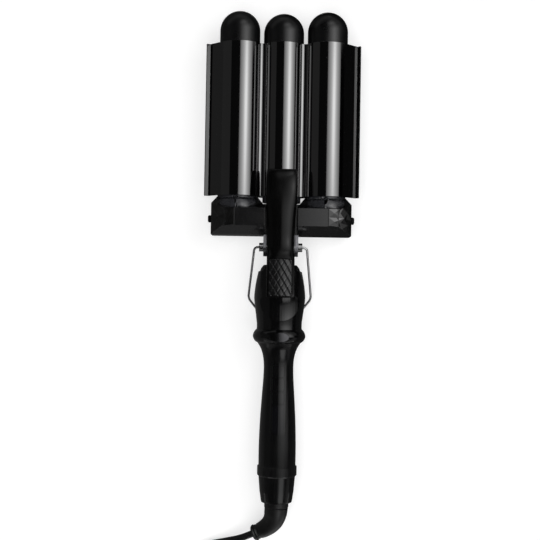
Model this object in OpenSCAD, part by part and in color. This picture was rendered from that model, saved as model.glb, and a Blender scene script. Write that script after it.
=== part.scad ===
// Three-barrel hair waver with a spring lever, lying on its back.
// +Y runs from the cord end to the barrel tips, +Z points at the lever side.
// Inside the modules Y is counted from the butt of the handle and Z from the
// axis of the grip; place() then moves a piece onto the surface it lies on.

/* [Barrels] */
// Diameter of the three barrels
barrel_d = 32; // [26:1:39]
// Gap between neighbouring barrels
barrel_gap = 3; // [2.6:0.2:5]
// Length of the barrels from socket to tip
barrel_len = 121; // [90:1:150]
// Wall of the barrel tubes
barrel_wall = 1.4; // [1:0.1:2]
// Straight part of the two outer tips
outer_skirt = 11; // [7:0.5:16]
// Straight part of the centre tip
centre_skirt = 9.2; // [7:0.2:16]
// Wall of the tips
tip_wall = 2; // [1.5:0.1:3]
// How much slimmer a socket is than its barrel
socket_step = 0.8; // [0.4:0.1:1.5]

/* [Wave plates] */
// Thickness of the wave plates
plate_t = 1.2; // [0.9:0.1:1.4]
// Room for the hair between a plate and a barrel
hair_gap = 0.8; // [0.5:0.05:1]
// Radius of the bend between an arch and the next barrel
bend_r = 4; // [2.5:0.1:5]
// Length of the sloping outer skirt
skirt_len = 15.7; // [10:0.1:20]
// Length of the lip at the skirt's edge
lip_len = 3.4; // [2:0.1:5]

/* [Crossbar] */
// Length of the crossbar's flank, along the barrels
crossbar_len = 25.2; // [21:0.2:32]
// Rise of the shoulders that carry the outer sockets
shoulder_rise = 5.3; // [4:0.1:8]
// Cover of the barrels by the crossbar, in front and at the ends
crossbar_cover = 4.4; // [3:0.2:7]
// Wall of the crossbar shells
crossbar_wall = 2.4; // [1.8:0.1:3]
// Width of the bevel at the ends of the front face
end_bevel = 11; // [8:0.5:13]
// Height of the diamonds on the end plates
diamond_h = 2.2; // [0.8:0.1:2.6]

/* [Handle] */
// Diameter of the grip at its belly
grip_d = 29.4; // [26:0.2:34]
// Diameter of the head
head_d = 40.6; // [36:0.2:46]
// Diameter of the collar between grip and head
collar_d = 41.8; // [37:0.2:46]
// Length of the end cap
cap_len = 21; // [16:0.5:28]
// Length of the ring between cap and grip
ring_len = 8.4; // [6:0.2:12]
// Length of the grip
grip_len = 96.6; // [84:0.2:120]
// Length of the collar
collar_len = 10.8; // [9:0.2:14]
// Length of the head
head_len = 50.9; // [44:0.1:60]
// Free length of the neck between head and crossbar
neck_len = 23.4; // [20:0.1:29]
// Wall of the handle shells
shell_t = 2.2; // [1.8:0.1:2.8]

/* [Lever] */
// Width of the lever at the hinge and the thumb pad
lever_w = 21.6; // [19:0.2:24]
// Height of the hinge axis above the barrel axes
hinge_z = 10; // [9:0.2:12]
// Distance of the hinge axis below the crossbar
hinge_drop = 9.7; // [8:0.1:11]
// Length of the lever from the hinge to the end of the thumb pad
thumb_reach = 39.4; // [34:0.2:46]
// Height of the thumb pad's end above the grip axis
thumb_z = 39.4; // [38:0.2:48]
// How far the lever's saddle lies over the centre barrel
saddle_len = 21; // [14:0.5:30]
// Radius of the hinge pin
pin_r = 2.2; // [1.8:0.1:2.4]

/* [Stand] */
// Diameter of the stand's wire
wire_d = 1.8; // [1.4:0.1:2]
// How far the stand's shoulders stand out from the hinge pin
stand_shoulder = 3.6; // [3:0.1:6]
// Half width of the stand at its widest
stand_wide = 25.3; // [24:0.1:28]
// Half width of the stand's foot
stand_foot = 15; // [10:0.5:18]

/* [Controls] */
// Width of the control strip
strip_w = 12; // [11:0.5:15]
// Pitch of the three buttons
button_pitch = 10.4; // [9:0.2:12]
// Travel of a button
button_travel = 0.8; // [0.4:0.1:1]
// Length of the display lens
lens_len = 22.6; // [15:0.2:28]

/* [Cord] */
// Diameter of the cord
cord_d = 5.5; // [4.5:0.1:6.5]

/* [Hidden] */
$fn = 96;
slide_gap = 0.06;   // running clearance of shafts and swivels
part_gap = 0.25;    // seam between pieces that are only laid together
move_gap = 0.4;     // air round pieces that move past each other
big = 600;          // larger than the whole object

// Barrels and wave plates
barrel_r = barrel_d / 2;
pitch = barrel_d + barrel_gap;
bore_r = barrel_r - barrel_wall;
spigot_len = 6;
arch_r = barrel_r + hair_gap + plate_t / 2;
arch_out = arch_r + plate_t / 2;
bend_sink = 0.03;     // how deep a bend sinks into the arch, which makes them one sheet
bend_far = arch_out + bend_r - bend_sink;
bend_near = barrel_r + bend_r - bend_sink;
bend_x = (pow(bend_far, 2) - pow(bend_near, 2) + pow(pitch, 2)) / (2 * pitch);
bend_at = [bend_x, sqrt(pow(bend_far, 2) - pow(bend_x, 2))];
bend_lap = 3;         // how far arch and bend overlap, in degrees
bend_a = atan2(bend_at[1], bend_at[0]);
foot_a = [6, atan2(bend_at[1], pitch - bend_x)];
skirt_a = 135;
lip_dir = [-0.84, 0.54];

// Stations along the handle, counted from the butt
ring_y = cap_len;
grip_y = ring_y + ring_len;
collar_y = grip_y + grip_len;
head_y = collar_y + collar_len;
neck_y = head_y + head_len;
crossbar_y = neck_y + neck_len;
crossbar_top = crossbar_y + crossbar_len;
shoulder_y = crossbar_top + shoulder_rise;
barrel_y = shoulder_y + part_gap;
tip_y = barrel_y + barrel_len;
hinge_y = crossbar_y - hinge_drop;

// Handle
grip_r = grip_d / 2;
head_r = head_d / 2;
collar_r = collar_d / 2;
neck_r = 9.6;        // swivel neck
neck_drop = 4;       // how far it stands out of the cap
tongue = 4.6;        // how far a shell reaches under a ring
ring_seat = grip_r - 2.1;
collar_seat = collar_r - 6;
strip_drop = 15.4;   // from the collar to the upper end of the control strip
control_y = collar_y - strip_drop;
strip_end = 1.2;     // rim of the strip above the first button and below the lens
strip_len = 3 * button_pitch + lens_len + 2 * strip_end;
board_w = 13;
board_z = 3;         // upper face of the control board
board_over = 1;      // how far the board reaches past the strip's ends
switch_h = 3.1;
boss_r = 3;          // bosses of the shell screws

// Crossbar
crossbar_w = 2 * pitch + barrel_d + 2 * crossbar_cover;
crossbar_front = barrel_r + crossbar_cover - 0.4;
flank_z = crossbar_front - end_bevel;
socket_r = barrel_r - socket_step;
seat_r = socket_r + 0.1;
socket_deep = 10;    // how far a socket reaches into the crossbar
saddle_w = lever_w + 3.6;
channel_w = saddle_w + 2 * move_gap;
channel_z = 8;
centre_seat = 0.9;   // gap between the crossbar and the centre socket
neck_w = 19;
neck_z = [-11, 3];
flange_in = lever_w / 2 + 0.5;
flange_t = 2.4;
base_t = 1.6;
end_y = crossbar_y + crossbar_len / 2;

// Stand, folded against the back of the head
wire_r = wire_d / 2;
foot_y = head_y + 11.2;
foot_z = -(lookup(foot_y, head_outline()) + part_gap + wire_r);
fold_a = atan2(hinge_z - foot_z, hinge_y - foot_y);
stand_len = norm([hinge_z - foot_z, hinge_y - foot_y]);
rest_z = foot_z - wire_r;   // the surface that the waver lies on
pin_head = [3.4, 3.3];      // radius and length of the pin's heads
pin_end = flange_in + flange_t + pin_head[1];
stand_top = pin_end + stand_shoulder;

// Lengthways middle of the object, cord and strain relief left out
middle_y = (tip_y + outer_skirt + barrel_r - neck_drop) / 2;

// Cord: side offset, distance from the butt, height above the surface
cord_r = cord_d / 2;
boot_route = [[0, -neck_drop - 1, -rest_z], [-0.6, -9.6, -rest_z - 0.3],
    [-2.7, -15.3, -rest_z - 1.4], [-7.8, -21, 18], [-17, -26, 15]];
boot_radii = [9.3, 8.9, 7.9, 7, 4.5];
cord_route = [[-17, -26, 15], [-28, -31, 11.8], [-40, -34.6, 8.2], [-52, -37.8, 5.2],
    [-64, -41.8, 3.3], [-76, -46.2, 2.75]];
coil_centre = [-88, -90];
coil_turns = [4, 2];         // side by side, and on each other
coil_r = 33;                 // middle of the wound cord
coil_half = coil_turns[0] * cord_d / 2;
plug_z = 6.85;
tail_route = [[-109, -53.1, 8.25], [-125, -65.4, 7.2], [-133.4, -79.4, 5.4], [-134.9, -93, 3.8],
    [-131, -108.8, 2.9], [-121.2, -123.2, 2.75], [-106, -133.4, 2.75], [-88, -137, 2.9],
    [-76, -137.2, 3.7], [-64, -136.6, 5.4], [-54, -136, 6.85]];
plug_y = -136;
plug_x = [-54, -36, 0];      // relief, body and face of the plug
pin_spacing = 19;

// ---- Tools ----

// Moves a piece from the handle's own lines to the surface that it lies on
module place() {
    translate([0, -middle_y, -rest_z]) children();
}

// Moves a piece of the cord, whose heights are already above that surface
module lay() {
    translate([0, -middle_y, 0]) children();
}

// Turns a revolved piece onto the long axis
module along_y(y = 0) {
    translate([0, y, 0]) rotate([-90, 0, 0]) children();
}

// Extrudes a cross-section, drawn as x and z, from y0 to y1
module section(y0, y1) {
    translate([0, y1, 0]) rotate([90, 0, 0]) linear_extrude(y1 - y0) children();
}

// Extrudes a side view, drawn as y and z, from x0 to x1
module side_view(x0, x1) {
    translate([x0, 0, 0]) rotate([90, 0, 90]) linear_extrude(x1 - x0) children();
}

module front_half() {
    intersection() {
        children();
        translate([-big, -big, 0]) cube(2 * big);
    }
}

module rear_half() {
    intersection() {
        children();
        translate([-big, -big, -2 * big]) cube(2 * big);
    }
}

module both_sides() {
    children();
    mirror([1, 0, 0]) children();
}

module tube(outer, inner, y0, y1) {
    along_y(y0) difference() {
        cylinder(r = outer, h = y1 - y0);
        translate([0, 0, -1]) cylinder(r = inner, h = y1 - y0 + 2);
    }
}

module rounded_rect(w, h, r) {
    square([w - 2 * r, h], center = true);
    square([w, h - 2 * r], center = true);
    for (x = [-1, 1], y = [-1, 1])
        translate([x * (w / 2 - r), y * (h / 2 - r)]) circle(r);
}

function catmull(a, b, c, d, t) = 0.5 * (2 * b + (c - a) * t
    + (2 * a - 5 * b + 4 * c - d) * t * t + (3 * b - a - 3 * c + d) * t * t * t);

// A smooth line through the points, with the given steps between two of them
function smooth(p, steps) = [
    for (i = [0 : len(p) - 2], k = [0 : steps - 1])
        catmull(p[max(i - 1, 0)], p[i], p[i + 1], p[min(i + 2, len(p) - 1)], k / steps),
    p[len(p) - 1]];

function unit(v) = v / norm(v);

// A bent line with its corners rounded
function rounded(p, r, steps) = [
    p[0],
    for (i = [1 : len(p) - 2])
        let (a = p[i] + unit(p[i - 1] - p[i]) * r, b = p[i] + unit(p[i + 1] - p[i]) * r)
            for (k = [0 : steps])
                let (t = k / steps) a * (1 - t) * (1 - t) + p[i] * 2 * t * (1 - t) + b * t * t,
    p[len(p) - 1]];

// A round bar swept along a line; radii is one radius or one for each point
module sweep(path, radii, sides, up = [0, 0, 1]) {
    n = len(path);
    function tangent(i) = unit(path[min(i + 1, n - 1)] - path[max(i - 1, 0)]);
    function across(i) = unit(cross(up, tangent(i)));
    function radius(i) = is_list(radii) ? radii[i] : radii;
    points = [for (i = [0 : n - 1], k = [0 : sides - 1])
        let (a = 360 * k / sides, x = across(i), y = cross(tangent(i), x))
            path[i] + radius(i) * (cos(a) * x + sin(a) * y)];
    faces = concat(
        [[for (k = [0 : sides - 1]) k]],
        [for (i = [0 : n - 2], k = [0 : sides - 1])
            let (a = i * sides + k, b = i * sides + (k + 1) % sides)
                [a, a + sides, b + sides, b]],
        [[for (k = [sides - 1 : -1 : 0]) (n - 1) * sides + k]]);
    polyhedron(points, faces);
}

// ---- Handle ----

// Outline of the grip: distance along it and radius, with a waist below the collar
function grip_outline() = smooth([for (s = [[0, 1], [0.16, 1], [0.36, 0.96], [0.53, 0.895],
    [0.7, 0.82], [0.8, 0.8], [0.88, 0.84], [0.95, 0.97], [1, 1.16]])
    [grip_y + s[0] * grip_len, s[1] * grip_r]], 5);

// Outline of the head: waisted at the collar, full below the lever, with a shoulder
function head_outline() = concat(smooth([for (s = [[0, 0.885], [0.08, 0.88], [0.2, 0.915],
    [0.38, 0.975], [0.5, 1], [0.66, 0.965], [0.8, 0.905], [0.9, 0.85]])
    [head_y + s[0] * head_len, s[1] * head_r]], 5),
    [for (s = [[0.905, 0.79], [0.95, 0.75], [0.985, 0.68], [1, 0.645]])
        [head_y + s[0] * head_len, s[1] * head_r]]);

// Solid of revolution from an outline, grown or shrunk by a margin
module turned(outline, grow = 0) {
    last = len(outline) - 1;
    along_y() rotate_extrude() polygon(concat(
        [[0, outline[0][0]]],
        [for (p = outline) [p[1] + grow, p[0]]],
        [[0, outline[last][0]]]));
}

// The grip's outer skin with the tongues that sit under the ring and the collar
module grip_body() {
    turned(grip_outline());
    along_y(grip_y - tongue) cylinder(r = ring_seat, h = tongue + 1);
    along_y(collar_y - 1) cylinder(r = collar_seat, h = tongue + 1);
}

module grip_hollow() {
    intersection() {
        turned(grip_outline(), -shell_t);
        translate([-big, grip_y + 2, -big]) cube([2 * big, grip_len - 4, 2 * big]);
    }
    along_y(grip_y - tongue - 1) cylinder(r = ring_seat - shell_t, h = tongue + 4);
    along_y(collar_y - 3) cylinder(r = collar_seat - shell_t, h = tongue + 4);
}

module head_body() {
    turned(head_outline());
    along_y(head_y - tongue) cylinder(r = collar_seat, h = tongue + 1);
}

module head_hollow() {
    intersection() {
        turned(head_outline(), -shell_t);
        translate([-big, head_y + 2, -big]) cube([2 * big, head_len - 5.5, 2 * big]);
    }
    along_y(head_y - tongue - 1) cylinder(r = collar_seat - shell_t, h = tongue + 4);
}

// Places of the four shell screws along the handle
function screw_ys() =
    [grip_y + boss_r + 1.6, collar_y - 3 * boss_r, head_y + boss_r + 2, head_y + 0.62 * head_len];

// Bosses that the screws join: one shell carries each side of the parting plane
module screw_bosses(r) {
    for (y = screw_ys()) translate([0, y, -big]) cylinder(r = r, h = 2 * big);
}

// Opening for the neck frame in the top of the head
module neck_way(gap) {
    section(head_y + 0.7 * head_len, neck_y + 1)
        translate([0, (neck_z[0] + neck_z[1]) / 2])
            square([neck_w + 2 * gap, neck_z[1] - neck_z[0] + 2 * gap], center = true);
}

// Slot in the front of the grip for the control strip
module strip_slot(gap) {
    translate([0, control_y - strip_len / 2, 0]) linear_extrude(big)
        rounded_rect(strip_w + 2 * gap, strip_len + 2 * gap, 2.5 + gap);
}

module grip_front_shell() {
    color("#161616") difference() {
        front_half() {
            difference() {
                grip_body();
                grip_hollow();
            }
            intersection() {
                screw_bosses(boss_r);
                grip_body();
                translate([-big, grip_y, 0]) cube([2 * big, grip_len, big]);
            }
        }
        strip_slot(0.1);
        for (y = screw_ys()) translate([0, y, -1]) cylinder(r = 1.2, h = 7);
    }
}

module grip_rear_shell() {
    color("#161616") difference() {
        rear_half() {
            difference() {
                grip_body();
                grip_hollow();
            }
            intersection() {
                screw_bosses(boss_r);
                grip_body();
                translate([-big, grip_y, -big]) cube([2 * big, grip_len, big]);
            }
        }
        screw_holes();
    }
}

// Through holes with countersinks for the shell screws, from the back
module screw_holes() {
    for (y = screw_ys()) translate([0, y, 0]) {
        translate([0, 0, -big]) cylinder(r = 1.6, h = big + 1);
        translate([0, 0, -big]) cylinder(r = 2.9, h = big - 6);
    }
}

module head_front_shell() {
    color("#141414") difference() {
        front_half() {
            difference() {
                head_body();
                head_hollow();
            }
            intersection() {
                screw_bosses(boss_r + 0.2);
                head_body();
                translate([-big, head_y, 0]) cube([2 * big, 0.7 * head_len, big]);
            }
        }
        neck_way(0.1);
        thumb_dish();
        for (y = screw_ys()) translate([0, y, -1]) cylinder(r = 1.2, h = 7);
    }
}

// The dished front of the head below the thumb pad: hollow along the head, and
// rounded across it, so the tool is a spool that is thinnest in its middle
module thumb_dish() {
    dish_r = 46;
    cross_r = 24;
    reach = 18;
    function waist(x) = dish_r + cross_r - sqrt(cross_r * cross_r - x * x);
    translate([0, head_y + 0.26 * head_len, 0.885 * head_r + dish_r - 0.2])
        rotate([0, 90, 0]) rotate_extrude() polygon(concat(
            [[0, -reach]], [for (x = [-reach : 2 : reach]) [waist(x), x]], [[0, reach]]));
}

module head_rear_shell() {
    color("#141414") difference() {
        rear_half() {
            difference() {
                head_body();
                head_hollow();
            }
            intersection() {
                screw_bosses(boss_r + 0.2);
                head_body();
                translate([-big, head_y, -big]) cube([2 * big, 0.7 * head_len, big]);
            }
        }
        neck_way(0.1);
        screw_holes();
    }
}

// Rounded collar that clamps the shells of grip and head together
module collar_ring() {
    outline = smooth([[collar_y, 0.815 * collar_r], [collar_y + 0.16 * collar_len, 0.93 * collar_r],
        [collar_y + 0.48 * collar_len, collar_r], [collar_y + 0.8 * collar_len, 0.955 * collar_r],
        [collar_y + collar_len, 0.87 * collar_r]], 6);
    color("#1a1a1a") difference() {
        turned(outline);
        along_y(collar_y - 1) cylinder(r = collar_seat + slide_gap, h = collar_len + 2);
        inlay_shape(0.1);
    }
}

// Blank oval inlay on the front of the collar
module inlay_shape(gap) {
    translate([0, collar_y + 0.48 * collar_len, collar_r - 2.4]) linear_extrude(4)
        scale([2.1, 1]) circle(3.6 + gap);
}

module collar_inlay() {
    color("#2b2b2d") intersection() {
        inlay_shape(0);
        turned([[collar_y, collar_r + 0.2], [head_y, collar_r + 0.2]]);
    }
}

module end_ring() {
    r = grip_r + 1;
    color("#1c1c1c") along_y(ring_y) rotate_extrude() polygon([
        [ring_seat + slide_gap, 0], [r - 0.9, 0], [r, 0.9],
        [r, ring_len - 0.9], [r - 0.9, ring_len], [ring_seat + slide_gap, ring_len]]);
}

// Hollow end cap; its spigot plugs into the grip and its floor holds the swivel
module end_cap() {
    base = grip_r - 2.3;
    spigot = ring_seat - shell_t - 0.1;
    inner = neck_r + 1;
    color("#151515") along_y() rotate_extrude() polygon([
        [neck_r + slide_gap, 0], [base - 1.2, 0], [base - 0.35, 0.35], [base, 1.4],
        [base + 1.1, 0.42 * cap_len], [grip_r - 0.15, cap_len],
        [spigot, cap_len], [spigot, cap_len + 5], [spigot - 1.6, cap_len + 5],
        [spigot - 1.6, cap_len - 2.5], [inner, cap_len - 4.5], [inner, 2.4],
        [neck_r + slide_gap, 2.4]]);
}

// Fixed half of the swivel's contacts
module swivel_contact_block() {
    color("#d8d2c4") tube(neck_r + 0.9, 4 + slide_gap, 4.7, cap_len - 6);
}

module shell_screws() {
    color("#8f9296") for (y = screw_ys()) translate([0, y, -6]) difference() {
        union() {
            cylinder(r = 1.2, h = 11.5);
            translate([0, 0, -2.2]) cylinder(r = 2.6, h = 2.2);
        }
        for (a = [0, 90]) rotate(a) translate([-1.5, -0.25, -3]) cube([3, 0.5, 1.8]);
    }
}

// ---- Controls ----

function button_y(i) = control_y - strip_end - button_pitch * (i + 0.5);
button_w = strip_w - 3;
button_l = button_pitch - 0.9;
button_foot = board_z + switch_h + button_travel + 0.1;   // a resting stem's lower end

// The strip is flush with the grip, with openings for the buttons and the lens
module control_strip() {
    color("#1b1b1c") difference() {
        intersection() {
            strip_slot(0);
            turned(grip_outline());
        }
        intersection() {
            strip_slot(-1);
            turned(grip_outline(), -shell_t);
        }
        translate([-big, -big, -1]) cube([2 * big, 2 * big, board_z + 4]);
        for (i = [0 : 2]) translate([0, button_y(i), 0]) linear_extrude(big)
            rounded_rect(button_w + 0.3, button_l + 0.3, 1.4);
        lens_shape(0.05);
    }
}

module lens_shape(gap) {
    translate([0, control_y - strip_end - 3 * button_pitch - lens_len / 2, 0]) linear_extrude(big)
        rounded_rect(button_w + 2 * gap, lens_len - 1.4 + 2 * gap, 1.4);
}

module display_lens() {
    color("#222327") difference() {
        intersection() {
            lens_shape(0);
            turned(grip_outline());
        }
        turned(grip_outline(), -shell_t);
    }
}

// A cap that is flush with the strip and bears on a switch of the board
module button(i) {
    intersection() {
        translate([0, button_y(i), button_foot + 1.2]) linear_extrude(big)
            rounded_rect(button_w, button_l, 1.3);
        turned(grip_outline());
    }
    translate([0, button_y(i), button_foot]) cylinder(r = 1.4, h = 2);
}

module power_button() { color("#202021") button(0); }
module plus_button() { color("#202021") button(1); }
module minus_button() { color("#202021") button(2); }

// Board with three switches, display and driver; the shells clamp it
module control_board() {
    y0 = control_y - strip_len - board_over;
    color("#1f6b3a") translate([-board_w / 2, y0, board_z - 1.6])
        cube([board_w, strip_len + 2 * board_over, 1.6]);
    color("#2c2c2c") for (i = [0 : 2]) translate([0, button_y(i), board_z]) {
        translate([-3, -3, 0]) cube([6, 6, 1.8]);
        cylinder(r = 1.6, h = switch_h);
    }
    color("#3a4048") translate([-3.4, control_y - 3 * button_pitch - lens_len + 2, board_z])
        cube([6.8, lens_len - 6, 3]);
    color("#303030") translate([-4.5, y0 + 6, board_z - 4.6]) cube([9, 16, 3]);
}

// ---- Neck and hinge ----

// Cast core that carries the crossbar on the head
module neck_frame() {
    mid = (neck_z[0] + neck_z[1]) / 2;
    high = neck_z[1] - neck_z[0];
    color("#3a3b3d") difference() {
        section(head_y + 0.72 * head_len, crossbar_y + 13) translate([0, mid])
            rounded_rect(neck_w, high, 2.5);
        translate([0, 0, mid]) along_y(0) cylinder(r = 3.4, h = big);
    }
}

// Steel channel on the neck; its two ears hold the hinge pin
module hinge_bracket() {
    y0 = hinge_y - 7;
    color("#77797d") {
        difference() {
            both_sides() side_view(flange_in, flange_in + flange_t) {
                polygon([[y0, neck_z[1]], [crossbar_y, neck_z[1]], [crossbar_y, hinge_z + 3.4],
                    [hinge_y, hinge_z + 4.6], [hinge_y - 4.6, hinge_z], [y0, neck_z[1] + 4]]);
                translate([hinge_y, hinge_z]) circle(4.6);
            }
            translate([-big, hinge_y, hinge_z]) rotate([0, 90, 0]) cylinder(r = pin_r, h = 2 * big);
        }
        translate([-flange_in, y0, neck_z[1]]) cube([2 * flange_in, crossbar_y - y0, base_t]);
    }
}

// Hollow pin with two heads; the ends of the stand turn in it
module hinge_pin() {
    color("#c8cacd") translate([0, hinge_y, hinge_z]) rotate([0, 90, 0]) difference() {
        union() {
            cylinder(r = pin_r, h = 2 * pin_end - 2 * pin_head[1], center = true);
            for (s = [-1, 1]) translate([0, 0, s * (pin_end - pin_head[1] / 2)])
                cylinder(r = pin_head[0], h = pin_head[1], center = true);
        }
        for (s = [-1, 1]) translate([0, 0, s * (pin_end - 4)])
            cylinder(r = wire_r + slide_gap, h = 8.4, center = true);
    }
}

// Torsion spring on the pin: one leg rests on the bracket, the other leans on the lever
module lever_spring() {
    spring_r = pin_r + 1.2;
    wire = 0.55;
    turns = 5.2;
    half = 5;
    steps = 14;
    last = round(turns * steps);
    function turn(k) = [-half + 2 * half * k / last,
        spring_r * cos(-90 - 360 * k / steps), spring_r * sin(-90 - 360 * k / steps)];
    rest_leg = [-half, 9, neck_z[1] + base_t + wire + 0.1 - hinge_z];
    lever_leg = turn(last) + 8 * unit([0, -0.3, 1]);
    color("#9a9da1") translate([0, hinge_y, hinge_z])
        sweep(concat([rest_leg], [for (k = [0 : last]) turn(k)], [lever_leg]), wire, 8, up = [1, 0, 0]);
}

// ---- Crossbar ----

// Side view of the crossbar's front: bevelled below, sloping to the sockets above
function front_view() = [[crossbar_y, -1], [crossbar_y, flank_z],
    [crossbar_y + 0.62 * end_bevel, crossbar_front],
    [crossbar_top - 4.5, crossbar_front], [crossbar_top - 3.3, 0.75 * crossbar_front],
    [crossbar_top - 0.7, 0.4 * crossbar_front], [crossbar_top, -1]];

function rear_view() = [[crossbar_y, 1], [crossbar_y, rest_z + 4],
    [crossbar_y + 3, rest_z], [crossbar_top - 6, rest_z], [crossbar_top, rest_z + 7],
    [crossbar_top, 1]];

// Plan of the shoulders that rise round the outer sockets
module shoulders(z0, z1) {
    half = pitch / 2 + crossbar_cover / 2 + 0.6;
    both_sides() translate([pitch, 0, z0]) linear_extrude(z1 - z0) polygon([
        [-half, crossbar_top - 2], [-half, crossbar_top - 0.3],
        [-barrel_r, shoulder_y], [barrel_r, shoulder_y],
        [crossbar_w / 2 - pitch, crossbar_top - 0.3], [crossbar_w / 2 - pitch, crossbar_top - 2]]);
}

// Seats for the sockets and the rooms for the leads inside the shells
module crossbar_rooms() {
    both_sides() {
        translate([pitch, 0, 0]) {
            along_y(shoulder_y - socket_deep - shoulder_rise) cylinder(r = seat_r, h = 60);
            along_y(shoulder_y - socket_deep - shoulder_rise - part_gap)
                cylinder(r = seat_r + 1.5, h = 2 + part_gap);
        }
        room_x = channel_w / 2 + crossbar_wall;
        translate([room_x, crossbar_y + crossbar_wall, rest_z + crossbar_wall + 1])
            cube([crossbar_w / 2 - end_bevel - room_x, crossbar_top - socket_deep - crossbar_y
                - crossbar_wall - 1, flank_z - rest_z - crossbar_wall - 1]);
    }
    section(crossbar_y - 1, crossbar_y + 13.1)
        translate([0, (neck_z[0] + neck_z[1]) / 2])
            square([neck_w + 0.1, neck_z[1] - neck_z[0] + 0.1], center = true);
    end_screw_holes();
}

module end_screw_holes() {
    both_sides() translate([crossbar_w / 2 - 9, end_y, 0])
        rotate([0, 90, 0]) cylinder(r = 1.6, h = 20);
}

function crossbar_screw_places() = [for (s = [-1, 1], x = [channel_w / 2 + 4.2, crossbar_w / 2 - 7.6])
    [s * x, crossbar_y + 6]];

module crossbar_front_shell() {
    cut = crossbar_w / 2 - end_bevel;
    color("#171718") difference() {
        front_half() {
            intersection() {
                side_view(-crossbar_w / 2, crossbar_w / 2) polygon(front_view());
                section(crossbar_y - 1, shoulder_y + 1) polygon([
                    [-crossbar_w / 2, -1], [-crossbar_w / 2, flank_z], [-cut, crossbar_front],
                    [cut, crossbar_front], [crossbar_w / 2, flank_z], [crossbar_w / 2, -1]]);
            }
            intersection() {
                shoulders(-1, crossbar_front);
                side_view(-crossbar_w / 2, crossbar_w / 2) polygon([
                    [crossbar_top - 2, -1], [crossbar_top - 2, 0.5 * crossbar_front],
                    [crossbar_top - 0.7, 0.4 * crossbar_front], [shoulder_y, 1.5],
                    [shoulder_y, -1]]);
            }
        }
        crossbar_rooms();
        section(crossbar_y - 1, shoulder_y + 1) translate([-channel_w / 2, channel_z])
            square([channel_w, big]);
        for (p = crossbar_screw_places()) translate([p[0], p[1], -1]) cylinder(r = 1.2, h = 7);
    }
}

module crossbar_rear_shell() {
    cut = crossbar_w / 2 - 5;
    color("#171718") difference() {
        rear_half() {
            intersection() {
                side_view(-crossbar_w / 2, crossbar_w / 2) polygon(rear_view());
                section(crossbar_y - 1, shoulder_y + 1) polygon([
                    [-crossbar_w / 2, 1], [-crossbar_w / 2, rest_z + 6], [-cut, rest_z],
                    [cut, rest_z], [crossbar_w / 2, rest_z + 6], [crossbar_w / 2, 1]]);
            }
            intersection() {
                shoulders(-crossbar_front, 1);
                side_view(-crossbar_w / 2, crossbar_w / 2) polygon([
                    [crossbar_top - 2, 1], [crossbar_top - 2, -0.75 * crossbar_front],
                    [crossbar_top, -0.7 * crossbar_front], [shoulder_y, -0.4 * crossbar_front],
                    [shoulder_y, 1]]);
            }
        }
        crossbar_rooms();
        for (p = crossbar_screw_places()) translate([p[0], p[1], 0]) {
            translate([0, 0, -big]) cylinder(r = 1.6, h = big + 1);
            translate([0, 0, -big]) cylinder(r = 2.9, h = big - 8);
        }
    }
}

module crossbar_screws() {
    color("#8f9296") for (p = crossbar_screw_places()) translate([p[0], p[1], -8]) difference() {
        union() {
            cylinder(r = 1.2, h = 13);
            translate([0, 0, -2.2]) cylinder(r = 2.6, h = 2.2);
        }
        for (a = [0, 90]) rotate(a) translate([-1.5, -0.25, -3]) cube([3, 0.5, 1.8]);
    }
}

// Pan-head screws that pin the two shells together at their ends
module crossbar_end_screws() {
    color("#202021") both_sides() translate([crossbar_w / 2, end_y, 0]) rotate([0, 90, 0]) {
        translate([0, 0, -8]) cylinder(r = 1.6, h = 8);
        rotate_extrude() polygon([[0, 0], [2.8, 0], [2.8, 1.9], [1.9, 2.8], [0, 2.8]]);
    }
}

// Faceted plate folded over the end of the front face. Its knots lie on a grid
// of steps across the fold and along the crossbar; every second one is raised.
across = [0, 0.27, 0.5, 0.76, 1];
rows = 6;
fold_x = crossbar_w / 2 - end_bevel;
plate_in = 8;

function plate_ground(u) = u < 0.5
    ? [fold_x - plate_in * (1 - 2 * u), crossbar_front]
    : [fold_x + (2 * u - 1) * (end_bevel - 0.4), crossbar_front - (2 * u - 1) * (end_bevel - 0.4)];

function plate_normal(u) = u < 0.5 ? [0, 1] : u > 0.5 ? [0.707, 0.707] : [0.38, 0.92];

function plate_rows(u) = u <= 0.5
    ? [crossbar_y + 0.62 * end_bevel + 0.4, crossbar_top - 4.9]
    : [crossbar_y + 0.62 * end_bevel * (2 - 2 * u) + 0.4, crossbar_top - 4.9 + (2 * u - 1) * 3.8];

function plate_knot(i, j, lift) =
    let (u = across[i], g = plate_ground(u), n = plate_normal(u), y = plate_rows(u))
        [g[0] + n[0] * lift, y[0] + (y[1] - y[0]) * j / rows, g[1] + n[1] * lift];

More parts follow.
